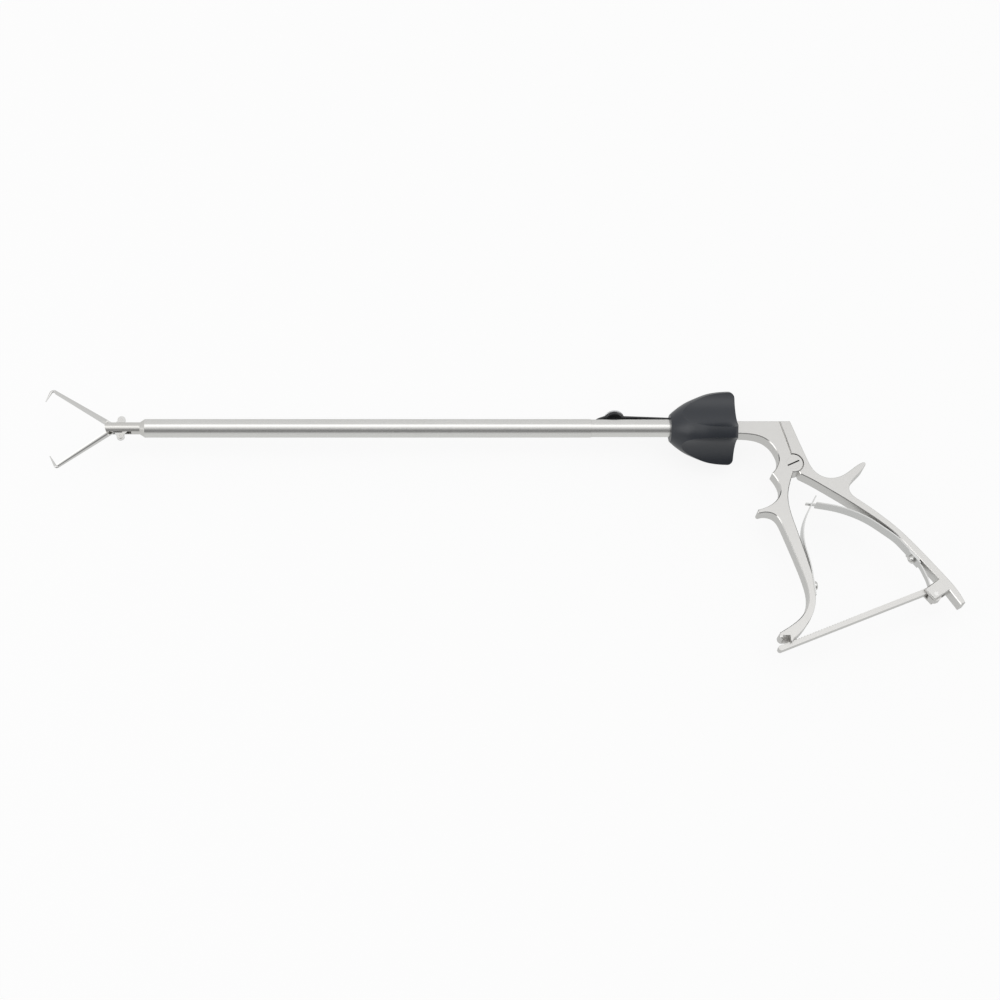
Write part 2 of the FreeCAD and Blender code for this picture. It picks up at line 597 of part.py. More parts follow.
def handle_frame():
    """Fixed handle: arm, fork ears round the rear lever's boss, finger hook, grip and foot."""
    runs = [[(ARM_FRONT_X, ARM_TOP_Y), SEAM_TOP], [SEAM_TOP, SEAM_FOOT], [SEAM_FOOT, GRIP_UPPER[-1]],
            GRIP_UPPER, FRONT_PAD, GRIP_REAR, FOOT_HEEL, FOOT_SOLE, FOOT_TOE, GRIP_FRONT, HOOK_TIP, CUSP_CURVE,
            ARM_UNDER, [ARM_UNDER[0], (ARM_FRONT_X, ARM_TOP_Y)]]
    body = plate(runs, HALF)
    body = fuse(body, disc_z(EAR_R, -HALF, HALF, *PIVOT))
    body = break_edges(body, HALF, EDGE_BREAK)
    body = body.cut(disc_z(MID_R, -BOSS_HALF - SIDE_GAP, BOSS_HALF + SIDE_GAP, *PIVOT))
    body = body.cut(disc_z(PIVOT_SHANK_R + SNUG, -HALF - 1, HALF + 1, *PIVOT))
    body = body.cut(disc_z(PIVOT_HEAD_R + SNUG, HALF - PIVOT_HEAD_THICK, HALF + 1, *PIVOT))
    nose = fuse(rod_x(NOSE_R, NOSE_FRONT_X, ARM_FRONT_X + 1),
                rod_x(FLANGE_R, FLANGE_FRONT_X, FLANGE_FRONT_X + FLANGE_THICK))
    nose = nose.cut(ring_x(NOSE_SEAL_X, NOSE_R - NOSE_SEAL_R + SNUG, NOSE_SEAL_R + SNUG))
    arm_end = Part.makeBox(2, 2 * NOSE_R, 2 * NOSE_R, vec(ARM_FRONT_X, -NOSE_R, -NOSE_R))
    nose = nose.cut(arm_end)
    body = fuse(body, nose)
    body = body.cut(rod_x(ROD_BORE_R, NOSE_FRONT_X - 1, PIVOT_X))
    return body.cut(foot_slot()).cut(leaf_screw_hole(FRONT_PAD, FRONT_SCREW_AT))


NOSE_SEAL_X = (NOSE_FRONT_X + FLANGE_FRONT_X) / 2


def foot_slot():
    """Slot in the foot that straddles the ratchet bar, whose roof rises away from the edge that catches
    the teeth, and the square pocket above it that opens on the near side."""
    run = 20.0
    edge = bar_point(BAR_LENGTH - CATCH_AT, CATCH_GAP)
    roof = bar_point(BAR_LENGTH - CATCH_AT + run, CATCH_GAP + run * math.tan(math.radians(CATCH_RELIEF)))
    heel = bar_point(BAR_LENGTH - CATCH_AT - run, CATCH_GAP)
    slot = slab([roof, edge, heel, (heel[0], heel[1] - run), (roof[0], roof[1] - run)],
                -FOOT_SLOT_HALF, FOOT_SLOT_HALF)
    left, right = FOOT_POCKET
    pocket = slab([(left, FOOT_POCKET_ROOF_Y), (right, FOOT_POCKET_ROOF_Y),
                   (right, FOOT_POCKET_ROOF_Y - run), (left, FOOT_POCKET_ROOF_Y - run)],
                  -FOOT_SLOT_HALF, HALF + 1)
    return fuse(slot, pocket)


def pad_frame(pad, at):
    """A point part way along a spring pad and the way out of the metal."""
    (ax, ay), (bx, by) = pad
    length = math.hypot(bx - ax, by - ay)
    place = (ax + (bx - ax) * at, ay + (by - ay) * at)
    return place, ((by - ay) / length, -(bx - ax) / length)


def leaf_screw_hole(pad, at):
    (x, y), out = pad_frame(pad, at)
    return Part.makeCylinder(SPRING_SHANK_R + SNUG, SPRING_SHANK_DEPTH, vec(x, y), vec(-out[0], -out[1]))


def leaf_screw(pad, at, leaves):
    """Round-headed slotted screw that clamps one or two leaves on a pad."""
    (x, y), out = pad_frame(pad, at)
    way = vec(*out)
    seat = vec(x, y) + way * (leaves * (LEAF_THICK + SNUG))
    head = Part.makeCylinder(SPRING_HEAD_R, SPRING_HEAD_THICK, seat, way)
    rim = [edge for edge in head.Edges if edge.Length > 6 * SPRING_HEAD_R
           and (edge.CenterOfMass - seat).dot(way) > SPRING_HEAD_THICK / 2]
    head = head.makeFillet(SPRING_HEAD_THICK * 0.55, rim)
    shank_from = vec(x, y) - way * SPRING_SHANK_DEPTH
    shank = Part.makeCylinder(SPRING_SHANK_R, (seat - shank_from).Length, shank_from, way)
    groove = Part.makeBox(4 * SPRING_HEAD_R, SPRING_SLOT_WIDTH, 2 * SPRING_SLOT_DEPTH,
                          vec(-2 * SPRING_HEAD_R, -SPRING_SLOT_WIDTH / 2, -SPRING_SLOT_DEPTH))
    tilt = FreeCAD.Rotation(AXIS_Z, way)
    groove.Placement = FreeCAD.Placement(seat + way * SPRING_HEAD_THICK, tilt)
    return fuse(head, shank).cut(groove)


def ribbon(points, start_way, thickness, half):
    """A strip of even thickness that follows a smooth line through the points."""
    ways = (start_way, way_of(points[-2:]))
    middle = run_edge(points, 0.0, ways).Curve
    sides = []
    for sign in (1, -1):
        side = []
        for x, y in points:
            tangent = middle.tangent(middle.parameter(vec(x, y)))[0]
            shift = sign * thickness / 2
            side.append((x - shift * tangent.y, y + shift * tangent.x))
        sides.append(side)
    left, right = sides
    runs = [left, [left[-1], right[-1]], right, [right[0], left[0]]]
    return plate(runs, half, {0: ways, 2: ways})


def leaf(pad, reach, layers, run, half):
    """A leaf spring: straight over its pad between two places of it, then bowed along its free run."""
    lift = layers * (LEAF_THICK + SNUG) - LEAF_THICK / 2
    ends = []
    for at in reach:
        (x, y), out = pad_frame(pad, at)
        ends.append((x + out[0] * lift, y + out[1] * lift))
    way = way_of(ends)
    base = ribbon(ends, way, LEAF_THICK, LEAF_HALF)
    return fuse(base, ribbon([ends[1]] + run, way, LEAF_THICK, half))


def leaf_hole(pad, at):
    (x, y), out = pad_frame(pad, at)
    return Part.makeCylinder(SPRING_SHANK_R + SNUG, 4 * LEAF_THICK, vec(x, y), vec(*out))


def front_leaf_spring():
    """Leaf on the fixed handle, with a window near its end that the other leaf's tongue hooks in."""
    body = leaf(FRONT_PAD, (0.0, 1.0), 1, FRONT_LEAF_RUN, LEAF_HALF)
    x, y = REAR_TONGUE_RUN[1]
    height = LEAF_THICK + 2 * TONGUE_PLAY
    window = Part.makeBox(8 * LEAF_THICK, height, 2 * (LEAF_TONGUE_HALF + FREE),
                          vec(x - 4 * LEAF_THICK, y - height / 2, -LEAF_TONGUE_HALF - FREE))
    return body.cut(window).cut(leaf_hole(FRONT_PAD, FRONT_SCREW_AT))


def rear_leaf_spring():
    """Leaf on the rear lever, drawn out to a narrow tongue."""
    body = leaf(REAR_PAD, (REAR_LEAF_END, 0.0), 1, REAR_LEAF_RUN, LEAF_HALF)
    tongue = ribbon(REAR_TONGUE_RUN, way_of(REAR_LEAF_RUN[-2:]), LEAF_THICK, LEAF_TONGUE_HALF)
    return fuse(body, tongue).cut(leaf_hole(REAR_PAD, REAR_SCREW_AT))


def ratchet_leaf_spring():
    """Short leaf over the rear one that bears on the ratchet bar beside its eye."""
    body = leaf(REAR_PAD, RATCHET_LEAF_REACH, 2, RATCHET_LEAF_RUN, BLOCK_SLOT_HALF - FREE)
    return body.cut(leaf_hole(REAR_PAD, REAR_SCREW_AT))


def rear_lever():
    """Sprung handle: ball socket on top, boss between the fork ears, thumb spur and ratchet block."""
    seam_top = (SEAM_TOP[0] + SEAM_GAP, SEAM_TOP[1])
    seam_foot = (SEAM_FOOT[0] + SEAM_GAP, SEAM_FOOT[1])
    runs = [[LEVER_TOP, seam_top], [seam_top, seam_foot], [seam_foot, PIVOT], [PIVOT, LEVER_INNER[-1]],
            LEVER_INNER, REAR_PAD] + polyline_runs(LEVER_BLOCK)
    runs += [LEVER_HEEL, LEVER_END, SPUR_BACK, SPUR_TIP, LEVER_OUTER]
    eased = {runs.index(LEVER_INNER): (way_of(REAR_PAD[::-1]), way_of(LEVER_INNER[-2:]))}
    body = break_edges(plate(runs, HALF, eased), HALF, EDGE_BREAK)
    for low, high in ((BOSS_HALF, HALF + 1), (-HALF - 1, -BOSS_HALF)):
        body = body.cut(disc_z(MID_R, low, high, *PIVOT))
    body = fuse(body, disc_z(EAR_R, -BOSS_HALF, BOSS_HALF, *PIVOT))
    body = body.cut(disc_z(PIVOT_SHANK_R + RUNNING, -HALF - 1, HALF + 1, *PIVOT))
    top = ARM_TOP_Y + 1
    socket = Part.makeCylinder(BALL_R + RUNNING, top - SOCKET_FLOOR_Y, vec(BALL_X, SOCKET_FLOOR_Y, 0), AXIS_Y)
    keyhole = Part.makeBox(BALL_NECK_LENGTH, top - SOCKET_FLOOR_Y, 2 * (BALL_NECK_R + SIDE_GAP),
                           vec(BALL_X - BALL_NECK_LENGTH, SOCKET_FLOOR_Y, -BALL_NECK_R - SIDE_GAP))
    body = body.cut(fuse(socket, keyhole))
    body = body.cut(block_slot()).cut(leaf_screw_hole(REAR_PAD, REAR_SCREW_AT))
    return body.cut(disc_z(BAR_PIN_R + SNUG, -HALF - 1, HALF + 1, BAR_HINGE_X, BAR_HINGE_Y))


def moved_line(line, sideways, beyond):
    """A line's two ends, moved to its left and drawn out at both ends."""
    (ax, ay), (bx, by) = line
    length = math.hypot(bx - ax, by - ay)
    ux, uy = (bx - ax) / length, (by - ay) / length
    return [(ax - beyond * ux - sideways * uy, ay - beyond * uy + sideways * ux),
            (bx + beyond * ux - sideways * uy, by + beyond * uy + sideways * ux)]


def block_slot():
    """Slot through the ratchet block for the bar's eye and the leaf spring's end."""
    root = [LEVER_BLOCK[0], LEVER_BLOCK[-1]]
    floor = moved_line(root, -BLOCK_WALL, HANDLE_THICK)
    mouth = moved_line(root, -BLOCK_WALL - 2 * HANDLE_THICK, HANDLE_THICK)
    return slab(floor + mouth[::-1], -BLOCK_SLOT_HALF, BLOCK_SLOT_HALF)


def ratchet_bar():
    """Toothed bar with a round hinge eye below its line; the leaf spring bears on the bar's top."""
    tooth_end = BAR_LENGTH - FIRST_TOOTH
    tooth_start = tooth_end - TOOTH_COUNT * TOOTH_PITCH
    points = [bar_point(-1.5, 0)]
    for number in range(TOOTH_COUNT):
        at = tooth_start + number * TOOTH_PITCH
        points.append(bar_point(at, 0))
        points.append(bar_point(at, -TOOTH_DEPTH))
    points.append(bar_point(tooth_end, 0))
    points.append(bar_point(BAR_LENGTH - 0.8, 0))
    points.append(bar_point(BAR_LENGTH, -0.8))
    points.append(bar_point(BAR_LENGTH, -BAR_THICK + 0.8))
    points.append(bar_point(BAR_LENGTH - 0.8, -BAR_THICK))
    points.append(bar_point(-1.5, -BAR_THICK))
    bar = slab(points, -BAR_HALF, BAR_HALF)
    eye = disc_z(BAR_EYE_R, -BAR_HALF, BAR_HALF, BAR_HINGE_X, BAR_HINGE_Y)
    body = fuse(bar, eye)
    return body.cut(disc_z(BAR_PIN_R + RUNNING, -HALF, HALF, BAR_HINGE_X, BAR_HINGE_Y))


def ratchet_pin():
    """Hinge pin of the bar: flush in the near cheek, with a low domed head on the far side."""
    head_r = BAR_PIN_HEAD_R
    shank = disc_z(BAR_PIN_R, -HALF, HALF, BAR_HINGE_X, BAR_HINGE_Y)
    head = disc_z(head_r, -HALF - 1.0, -HALF, BAR_HINGE_X, BAR_HINGE_Y)
    return fuse(shank, head)


def pivot_screw():
    """Slotted screw, flush in the near ear, whose shank is the rear lever's axle."""
    head = disc_z(PIVOT_HEAD_R, HALF - PIVOT_HEAD_THICK, HALF, *PIVOT)
    shank = disc_z(PIVOT_SHANK_R, -HALF, HALF - PIVOT_HEAD_THICK, *PIVOT)
    groove = Part.makeBox(4 * PIVOT_HEAD_R, PIVOT_SLOT_WIDTH, 2 * PIVOT_SLOT_DEPTH,
                          vec(-2 * PIVOT_HEAD_R, -PIVOT_SLOT_WIDTH / 2, -PIVOT_SLOT_DEPTH))
    groove.Placement = FreeCAD.Placement(vec(PIVOT_X, PIVOT_Y, HALF),
                                         FreeCAD.Rotation(AXIS_Z, PIVOT_SLOT_ANGLE))
    return fuse(head, shank).cut(groove)


def save_handle():
    save(handle_frame(), "handle_frame")
    save(rear_lever(), "rear_lever")
    save(pivot_screw(), "pivot_screw")
    save(ring_x(NOSE_SEAL_X, NOSE_R - NOSE_SEAL_R + SNUG, NOSE_SEAL_R), "nose_seal")
    washer_x = FLANGE_FRONT_X + FLANGE_THICK + SIDE_GAP
    save(tube_x(FLANGE_R, NOSE_R + RUNNING, washer_x, washer_x + WASHER_THICK), "thrust_washer")
    save(front_leaf_spring(), "front_leaf_spring")
    save(rear_leaf_spring(), "rear_leaf_spring")
    save(ratchet_leaf_spring(), "ratchet_leaf_spring")
    save(leaf_screw(FRONT_PAD, FRONT_SCREW_AT, 1), "front_spring_screw")
    save(leaf_screw(REAR_PAD, REAR_SCREW_AT, 2), "rear_spring_screw")
    save(ratchet_bar(), "ratchet_bar")
    save(ratchet_pin(), "ratchet_pin")


save_front_end()
save_sheath()
save_knob()
save_handle()
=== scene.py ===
import json
import math

import bpy
import numpy as np
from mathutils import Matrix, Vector


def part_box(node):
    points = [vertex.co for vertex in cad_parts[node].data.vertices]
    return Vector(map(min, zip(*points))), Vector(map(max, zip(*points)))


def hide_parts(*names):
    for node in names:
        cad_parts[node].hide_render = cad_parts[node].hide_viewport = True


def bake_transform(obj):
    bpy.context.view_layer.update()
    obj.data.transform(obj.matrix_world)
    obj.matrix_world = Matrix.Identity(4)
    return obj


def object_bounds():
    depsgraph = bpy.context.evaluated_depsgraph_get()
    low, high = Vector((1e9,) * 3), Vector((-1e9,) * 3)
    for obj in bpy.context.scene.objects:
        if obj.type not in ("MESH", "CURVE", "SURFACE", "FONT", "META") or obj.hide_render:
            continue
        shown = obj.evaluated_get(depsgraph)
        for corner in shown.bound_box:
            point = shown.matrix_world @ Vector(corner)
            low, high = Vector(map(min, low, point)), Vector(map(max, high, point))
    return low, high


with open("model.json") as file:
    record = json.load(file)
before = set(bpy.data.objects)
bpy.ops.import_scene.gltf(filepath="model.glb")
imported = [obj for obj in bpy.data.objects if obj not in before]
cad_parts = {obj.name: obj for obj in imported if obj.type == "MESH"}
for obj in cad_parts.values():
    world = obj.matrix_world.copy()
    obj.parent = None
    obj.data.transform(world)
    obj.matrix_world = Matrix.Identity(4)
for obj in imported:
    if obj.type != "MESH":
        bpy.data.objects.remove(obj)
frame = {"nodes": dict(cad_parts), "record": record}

cad_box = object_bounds()

MM = 0.001

# Camera: the square picture, the focal length in its pixels, and the point aimed at, which stands
# AIM_PX from the picture's left edge at its middle height
PICTURE_PX = 1000
FOCAL_PX = 2076.54
SENSOR_MM = 36.0
AIM = Vector((104.832, -41.846, 0.0)) * MM
AIM_PX = 340.0
CAMERA_DISTANCE = 1.1
CAMERA_ELEVATION = math.radians(67.0)
CAMERA_NEAR = 0.01

# Floor: its two pale tones, how far it is lifted to white, and what the steel mirrors of it
FLOOR_DROP = 0.1 * MM
FLOOR_HALF = 3.0
FLOOR_MOTTLE = 0.4
FLOOR_TONES = ((0.93, 0.93, 0.93), (0.95, 0.95, 0.95))
FLOOR_GLOW = 0.88
FLOOR_MIRRORED = (0.73, 0.735, 0.73, 1.0)

# Studio surround: its level, and the leans in radians over which the bright strip and the dim band
# come and go. Both fade along X, towards the room's ends.
WHITE = (1.0, 1.0, 1.0, 1.0)
SKY_LEVEL = 0.76
STRIP_GAIN = 0.3
STRIP_COMES = (-0.62, -0.3)
STRIP_GOES = (0.08, 0.42)
BAND_LOSS = 0.52
BAND_COMES = (0.3, 0.85)
BAND_GOES = (1.15, 1.65)
ENDS_FADE = (0.6, 0.95)

# The lamps point at a place beside the shaft, on the handles' side
LAMP_AIM_Y = -0.03

# Bevels on the plate, polished and also painted lighter as a highlight: the share of a face's normal
# along Z over which they come and go
BEVEL_COMES = (0.35, 0.6)
BEVEL_GOES = (0.8, 0.95)

# Depth below a screw's face over which its driver slot is painted dark as shade, how dark that
# painted shade is, and how dull the slot gets
SLOT_SHADE = (0.03 * MM, 0.25 * MM)
SLOT_PAINTED_SHADE = 0.12
SLOT_DULL = 0.3

# The thumb release: the way that it leans from straight up, and the dark line round its rim
RELEASE_TILT = math.radians(-32.0)
RIM_LINE = 0.35 * MM
RIM_LINE_SHADE = 0.6

# The wire coil under it
COIL_R = 0.9 * MM
COIL_WIRE_R = 0.17 * MM
COIL_TURNS = 6
STEPS_IN_TURN = 28
STEPS_ROUND_WIRE = 12

# Roughness of every noise, and a colour Mix node's sockets: factor, two colours, resulting colour
NOISE_ROUGHNESS = 0.55
MIX_FACTOR, MIX_LOW, MIX_HIGH, MIX_RESULT = 0, 6, 7, 2


class Field:
    """A number that varies over a surface, with plain arithmetic."""

    def __init__(self, graph, socket):
        self.graph = graph
        self.socket = socket

    def math(self, operation, *others):
        values = dict(enumerate((self,) + others))
        return self.graph.field("ShaderNodeMath", {"operation": operation}, values)

    def __add__(self, other):
        return self.math("ADD", other)

    def __sub__(self, other):
        return self.math("SUBTRACT", other)

    def __mul__(self, other):
        return self.math("MULTIPLY", other)

    def __rsub__(self, other):
        return self.graph.field("ShaderNodeMath", {"operation": "SUBTRACT"}, {0: other, 1: self})

    __radd__ = __add__
    __rmul__ = __mul__

    def step(self, low, high):
        """Rises smoothly from 0 at low to 1 at high."""
        values = {"Value": self, "From Min": low, "From Max": high}
        return self.graph.field("ShaderNodeMapRange", {"interpolation_type": "SMOOTHSTEP"}, values)

    def size(self):
        return self.math("ABSOLUTE")


class Graph:
    """Builds one node tree."""

    def __init__(self, owner):
        owner.use_nodes = True
        self.tree = owner.node_tree
        self.tree.nodes.clear()

    def node(self, kind, settings, values):
        """One node: its settings first, then its sockets' values or links."""
        node = self.tree.nodes.new(kind)
        for name, value in settings.items():
            setattr(node, name, value)
        for name, value in values.items():
            if isinstance(value, Field):
                self.tree.links.new(value.socket, node.inputs[name])
            else:
                node.inputs[name].default_value = value
        return node

    def field(self, kind, settings, values, output=0):
        return Field(self, self.node(kind, settings, values).outputs[output])

    def coordinates(self, scale=(1.0, 1.0, 1.0)):
        place = self.field("ShaderNodeTexCoord", {}, {}, "Object")
        return self.field("ShaderNodeMapping", {}, {"Vector": place, "Scale": scale})

    def parts(self, vector):
        split = self.node("ShaderNodeSeparateXYZ", {}, {"Vector": vector})
        return [Field(self, output) for output in split.outputs]

    def noise(self, grain, stretch=(1.0, 1.0, 1.0), detail=2.0):
        """Noise whose grains are about so many metres wide, drawn out along each axis."""
        values = {
            "Vector": self.coordinates(tuple(1.0 / (grain * factor) for factor in stretch)),
            "Scale": 1.0,
            "Detail": detail,
            "Roughness": NOISE_ROUGHNESS,
        }
        return self.field("ShaderNodeTexNoise", {}, values)

    def colour(self, factor, low, high):
        """A colour that runs from low, plain or already painted, to a plain high."""
        ground = low if isinstance(low, Field) else (*low, 1.0)
        values = {MIX_FACTOR: factor, MIX_LOW: ground, MIX_HIGH: (*high, 1.0)}
        settings = {"data_type": "RGBA", "clamp_factor": True}
        return self.field("ShaderNodeMix", settings, values, MIX_RESULT)

    def bump(self, height, depth):
        values = {"Height": height, "Strength": 1.0, "Distance": depth}
        return self.field("ShaderNodeBump", {}, values, "Normal")

    def surface(self, values):
        shader = self.field("ShaderNodeBsdfPrincipled", {}, values)
        self.node("ShaderNodeOutputMaterial", {}, {"Surface": shader})


def material(name):
    made = bpy.data.materials.new(name)
    return made, Graph(made)


def shade(colour, factor):
    return tuple(channel * factor for channel in colour)


def blasted_steel(name, colour, slot_top=None):
    """Bead-blasted satin plate with polished bevels painted lighter as a highlight, faint wear and
    a fine grain. Where a driver slot's top height is given, the slot below is dull and painted dark
    as shade."""
    made, graph = material(name)
    grain = graph.noise(0.12 * MM)
    cloud = graph.noise(9.0 * MM, detail=4.0)
    wipe = graph.noise(0.5 * MM, stretch=(18.0, 1.5, 1.0), detail=3.0)
    normal = graph.field("ShaderNodeTexCoord", {}, {}, "Normal")
    slope = graph.parts(normal)[2].size()
    # Chamfer faces: polished (lower roughness) and painted lighter as a highlight
    polished_bevel_highlight = slope.step(*BEVEL_COMES) * (1.0 - slope.step(*BEVEL_GOES))
    rough = 0.36 + 0.1 * (cloud - 0.5) + 0.05 * (wipe - 0.5) - 0.2 * polished_bevel_highlight
    # Tone holds random wear and the painted bevel highlight
    tone = 0.5 + 0.5 * (cloud - 0.5) + 0.25 * (wipe - 0.5) + 0.5 * polished_bevel_highlight
    paint = graph.colour(tone, shade(colour, 0.93), shade(colour, 1.06))
    if slot_top is not None:
        height = graph.parts(graph.coordinates())[2]
        # Painted shade: the driver slot is coloured dark below the screw's face
        painted_slot_shade = (slot_top - height).step(*SLOT_SHADE)
        paint = graph.colour(painted_slot_shade, paint, shade(colour, SLOT_PAINTED_SHADE))
        rough = rough + SLOT_DULL * painted_slot_shade
    graph.surface({
        "Base Color": paint,
        "Metallic": 1.0,
        "Roughness": rough,
        "Normal": graph.bump(grain, 0.008 * MM),
    })
    return made


def drawn_steel(name, colour, roughness, stretch, depth):
    """Steel with fine lines along one axis, left by drawing, rolling or polishing."""
    made, graph = material(name)
    lines = graph.noise(0.1 * MM, stretch=stretch, detail=3.0)
    cloud = graph.noise(14.0 * MM, detail=4.0)
    tone = 0.5 + 0.35 * (lines - 0.5) + 0.5 * (cloud - 0.5)
    graph.surface({
        "Base Color": graph.colour(tone, shade(colour, 0.94), shade(colour, 1.04)),
        "Metallic": 1.0,
        "Roughness": roughness + 0.12 * (lines - 0.5) + 0.06 * (cloud - 0.5),
        "Normal": graph.bump(lines, depth),
    })
    return made


def plated(name, colour, low, high):
    """Bright plating of the button's flat ring, with a trace of smudging and a darker line round its
    outer edge. Low and high are the corners of the ring's box, and its axis leans as the release."""
    made, graph = material(name)
    smudge = graph.noise(1.5 * MM, detail=4.0)
    east, north, height = graph.parts(graph.coordinates())
    middle = [(near + far) / 2 for near, far in zip(low, high)]
    along = east - middle[0]
    aside = ((height - middle[2]) * math.cos(RELEASE_TILT)
             - (north - middle[1]) * math.sin(RELEASE_TILT))
    radius = (along * along + aside * aside).math("SQRT")
    outside = (high[0] - low[0]) / 2
    edge = radius.step(outside - RIM_LINE, outside - RIM_LINE / 2)
    paint = graph.colour(smudge, shade(colour, 0.96), colour)
    graph.surface({
        "Base Color": graph.colour(edge, paint, shade(colour, RIM_LINE_SHADE)),
        "Metallic": 1.0,
        "Roughness": 0.3 + 0.08 * smudge.step(0.45, 0.8),
        "Normal": graph.bump(smudge, 0.004 * MM),
    })
    return made


def moulded(name, colour, roughness, grain_size, depth, gloss=0.5):
    """Moulded plastic or rubber: fine texture, slightly uneven gloss and a little handling wear."""
    made, graph = material(name)
    grain = graph.noise(grain_size, detail=3.0)
    cloud = graph.noise(7.0 * MM, detail=4.0)
    graph.surface({
        "Base Color": graph.colour(cloud, shade(colour, 0.88), shade(colour, 1.12)),
        "Metallic": 0.0,
        "Roughness": roughness + 0.1 * (cloud - 0.5) + 0.06 * (grain - 0.5),
        "Specular IOR Level": gloss,
        "Normal": graph.bump(grain, depth),
    })
    return made


STEEL = (0.69, 0.682, 0.665)
FINISHES = {
    "handle_steel": blasted_steel("handle_satin", STEEL),
    "sheath_steel": drawn_steel("sheath_satin", (0.79, 0.785, 0.765), roughness=0.27,
                                stretch=(60.0, 1.0, 1.0), depth=0.004 * MM),
    "satin_steel": drawn_steel("neck_satin", (0.73, 0.72, 0.695), roughness=0.3,
                               stretch=(25.0, 1.0, 1.0), depth=0.004 * MM),
    "polished_steel": drawn_steel("jaw_polish", (0.74, 0.735, 0.72), roughness=0.13,
                                  stretch=(12.0, 3.0, 1.0), depth=0.002 * MM),
    "spring_steel": drawn_steel("spring_rolled", (0.66, 0.66, 0.65), roughness=0.22,
                                stretch=(10.0, 10.0, 0.6), depth=0.003 * MM),
    "rim_chrome": plated("rim_plating", (0.93, 0.94, 0.95), *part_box("button_rim")),
    "knob_plastic": moulded("knob_grain", (0.010, 0.014, 0.022), roughness=0.34,
                            grain_size=0.25 * MM, depth=0.006 * MM, gloss=0.75),
    "black_plastic": moulded("release_black", (0.008, 0.009, 0.01), roughness=0.34,
                             grain_size=0.2 * MM, depth=0.006 * MM),
    "seal_rubber": moulded("seal_black", (0.012, 0.012, 0.012), roughness=0.6,
                           grain_size=0.15 * MM, depth=0.006 * MM),
    "white_polymer": moulded("bearing_white", (0.78, 0.78, 0.75), roughness=0.4,
                             grain_size=0.2 * MM, depth=0.004 * MM),
}
SLOTTED_SCREW = blasted_steel("pivot_screw_satin", STEEL, slot_top=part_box("pivot_screw")[1][2])


def dress(name, finish):
    for slot in frame["nodes"][name].material_slots:
        slot.material = finish


for entry in frame["record"]["subparts"]:
    dress(entry["node"], FINISHES[entry["material_slot"]])
dress("pivot_screw", SLOTTED_SCREW)


def add_mesh(name, points, faces, finish):
    """A smooth-shaded mesh object at the origin from whole arrays of points and quads."""
    mesh = bpy.data.meshes.new(name)
    mesh.from_pydata(points.tolist(), [], faces.tolist())
    mesh.polygons.foreach_set("use_smooth", np.ones(len(mesh.polygons), dtype=bool))
    mesh.materials.append(finish)
    made = bpy.data.objects.new(name, mesh)
    bpy.context.scene.collection.objects.link(made)
    return made


def grid_faces(rows, columns):
    """Quads of a tube's rows by columns of points, closed round each row."""
    row = np.arange(rows - 1)[:, None]
    column = np.arange(columns)[None, :]
    after = (column + 1) % columns
    corners = [row * columns + column, row * columns + after,
               (row + 1) * columns + after, (row + 1) * columns + column]
    return np.stack(corners, axis=-1).reshape(-1, 4)


def coil_spring():
    """Coil under the thumb release, leaning from the shaft at its foot to the release at its head.
    A wire of radius w follows a helix of radius c about its axis: centre line c (cos a, sin a) and
    a height that grows evenly with a, swept by a circle square to it."""
    low, high = (np.array(corner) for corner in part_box("release_spring"))
    centre = (low + high) / 2
    width, rise = (high - low)[:2]
    along = np.array([1.0, 0.0, 0.0])
    radial = np.array([0.0, math.cos(RELEASE_TILT), math.sin(RELEASE_TILT)])
    side = np.array([0.0, -math.sin(RELEASE_TILT), math.cos(RELEASE_TILT)])
    # The box's rise holds the leaning length and the spread of the round ends
    height = (rise - abs(side[1]) * width) / radial[1] - 2 * COIL_WIRE_R
    turn = np.linspace(0.0, 2 * math.pi * COIL_TURNS, COIL_TURNS * STEPS_IN_TURN)[:, None]
    out = np.cos(turn) * along + np.sin(turn) * side
    line = centre + COIL_R * out + radial * height * (turn / turn[-1] - 0.5)
    ring = np.linspace(0.0, 2 * math.pi, STEPS_ROUND_WIRE, endpoint=False)[None, :, None]
    section = np.cos(ring) * out[:, None, :] + np.sin(ring) * radial[None, None, :]
    points = line[:, None, :] + COIL_WIRE_R * section
    coil = add_mesh("release_coil", points.reshape(-1, 3), grid_faces(*points.shape[:2]),
                    FINISHES["spring_steel"])
    half = radial * (height / 2 + COIL_WIRE_R)
    tuple(centre - half)
    tuple(centre + half)
    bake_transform(coil)
    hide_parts("release_spring")


coil_spring()


def bending_leaf(name, node, root):
    """A leaf spring in its node's shape and the spring finish, put in place of its node. Its root is
    not used."""
    mesh = frame["nodes"][node].data.copy()
    mesh.materials.clear()
    mesh.materials.append(FINISHES["spring_steel"])
    leaf = bpy.data.objects.new(name, mesh)
    bpy.context.scene.collection.objects.link(leaf)
    root = Vector(root)
    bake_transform(leaf)
    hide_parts(node)


def leaf_springs():
    """The two crossed leaves that open the handles, and the short one over the ratchet bar's
    heel, each put in place of its node."""
    low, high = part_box("front_leaf_spring")
    screw_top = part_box("front_spring_screw")[1][1]
    bending_leaf("front_leaf", "front_leaf_spring",
                 root=(low[0], screw_top, 0.0))
    low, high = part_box("rear_leaf_spring")
    screw_low, screw_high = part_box("rear_spring_screw")
    bending_leaf("rear_leaf", "rear_leaf_spring",
                 root=(screw_low[0], screw_high[1], 0.0))
    low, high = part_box("ratchet_leaf_spring")
    bending_leaf("ratchet_leaf", "ratchet_leaf_spring",
                 root=(low[0], high[1], 0.0))


leaf_springs()


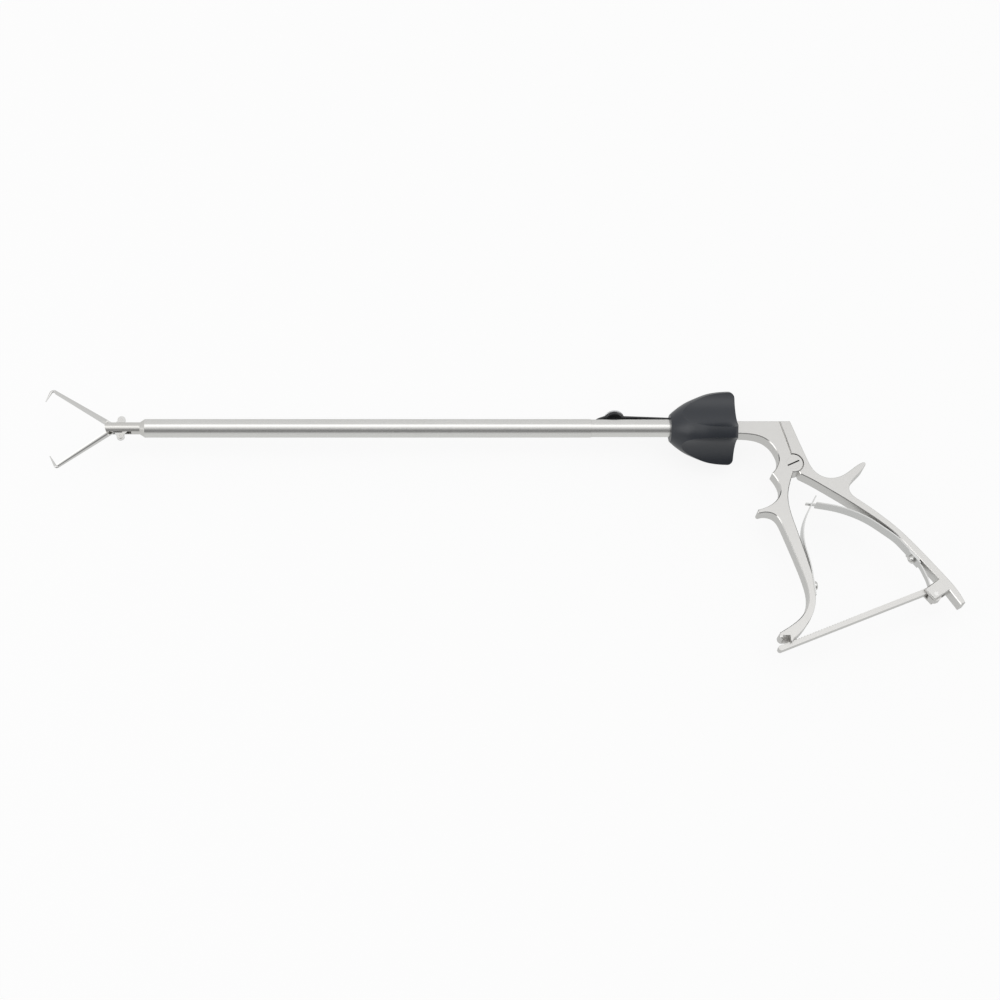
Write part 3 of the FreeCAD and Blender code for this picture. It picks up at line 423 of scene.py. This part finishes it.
def floor():
    """Pale floor under the whole instrument, lifted to white for the eye and dimmer in what the
    steel mirrors."""
    made, graph = material("floor_pale")
    path = graph.node("ShaderNodeLightPath", {}, {})
    seen = Field(graph, path.outputs["Is Camera Ray"])
    glossy = Field(graph, path.outputs["Is Glossy Ray"])
    pale = graph.colour(graph.noise(FLOOR_MOTTLE), *FLOOR_TONES)
    paint = graph.field("ShaderNodeBsdfDiffuse", {}, {"Color": pale})
    white = graph.field("ShaderNodeEmission", {}, {"Color": WHITE, "Strength": 1.0})
    mirrored = graph.field("ShaderNodeEmission", {}, {"Color": FLOOR_MIRRORED, "Strength": 1.0})
    lifted = graph.field("ShaderNodeMixShader", {}, {0: seen * FLOOR_GLOW, 1: paint, 2: white})
    mixed = graph.field("ShaderNodeMixShader", {}, {0: glossy, 1: lifted, 2: mirrored})
    graph.node("ShaderNodeOutputMaterial", {}, {"Surface": mixed})
    low = min(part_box(name)[0][2] for name in frame["nodes"]) - FLOOR_DROP
    corners = np.array([[-1.0, -1.0], [1.0, -1.0], [1.0, 1.0], [-1.0, 1.0]]) * FLOOR_HALF
    points = np.column_stack([corners, np.full(len(corners), low)])
    plane = add_mesh("floor", points, np.array([[0, 1, 2, 3]]), made)


floor()


def sky():
    """Studio surround: a bright ceiling strip, a dim band in front, and plain white to the camera.
    Lean is the angle from straight up towards the front, in radians."""
    world = bpy.data.worlds.new("studio")
    bpy.context.scene.world = world
    graph = Graph(world)
    way = graph.field("ShaderNodeTexCoord", {}, {}, "Generated")
    east, north, height = graph.parts(way)
    lean = (0.0 - north).math("ARCTAN2", height)
    strip = lean.step(*STRIP_COMES) * (1.0 - lean.step(*STRIP_GOES))
    band = lean.step(*BAND_COMES) * (1.0 - lean.step(*BAND_GOES))
    inside = 1.0 - east.size().step(*ENDS_FADE)
    level = SKY_LEVEL + (STRIP_GAIN * strip - BAND_LOSS * band) * inside
    camera_ray = graph.field("ShaderNodeLightPath", {}, {}, "Is Camera Ray")
    strength = camera_ray + (1.0 - camera_ray) * level
    shader = graph.field("ShaderNodeBackground", {}, {"Color": WHITE, "Strength": strength})
    graph.node("ShaderNodeOutputWorld", {}, {"Surface": shader})


sky()


def softbox(name, place, aim, width, height, power):
    """A rectangular lamp that faces a point."""
    lamp = bpy.data.lights.new(name, "AREA")
    lamp.shape = "RECTANGLE"
    lamp.size = width
    lamp.size_y = height
    lamp.energy = power
    made = bpy.data.objects.new(name, lamp)
    made.location = place
    made.rotation_euler = (Vector(aim) - Vector(place)).to_track_quat("-Z", "Y").to_euler()
    bpy.context.scene.collection.objects.link(made)


def lamps():
    """A long lamp above the shaft, and a square one out beyond the jaws."""
    middle = (cad_box[0][0] + cad_box[1][0]) / 2
    aim = (middle, LAMP_AIM_Y, 0.0)
    softbox("lamp_over", (middle, 0.16, 1.3), aim, width=1.6, height=0.4, power=0.9)
    softbox("lamp_left", (middle - 1.2, -0.5, 0.9), aim, width=0.8, height=0.8, power=2.4)


lamps()


def camera():
    """The photograph's camera: tilted down from the grips' side, with the picture's middle to the
    right of the point that it is aimed at."""
    data = bpy.data.cameras.new("camera")
    data.sensor_width = SENSOR_MM
    data.lens = FOCAL_PX / PICTURE_PX * SENSOR_MM
    data.shift_x = 0.5 - AIM_PX / PICTURE_PX
    data.clip_start = CAMERA_NEAR
    made = bpy.data.objects.new("camera", data)
    back = Vector((0.0, -math.cos(CAMERA_ELEVATION), math.sin(CAMERA_ELEVATION)))
    made.location = AIM + CAMERA_DISTANCE * back
    made.rotation_euler = (-back).to_track_quat("-Z", "Y").to_euler()
    bpy.context.scene.collection.objects.link(made)
    bpy.context.scene.camera = made


camera()

scene = bpy.context.scene
scene.view_settings.view_transform = "Standard"
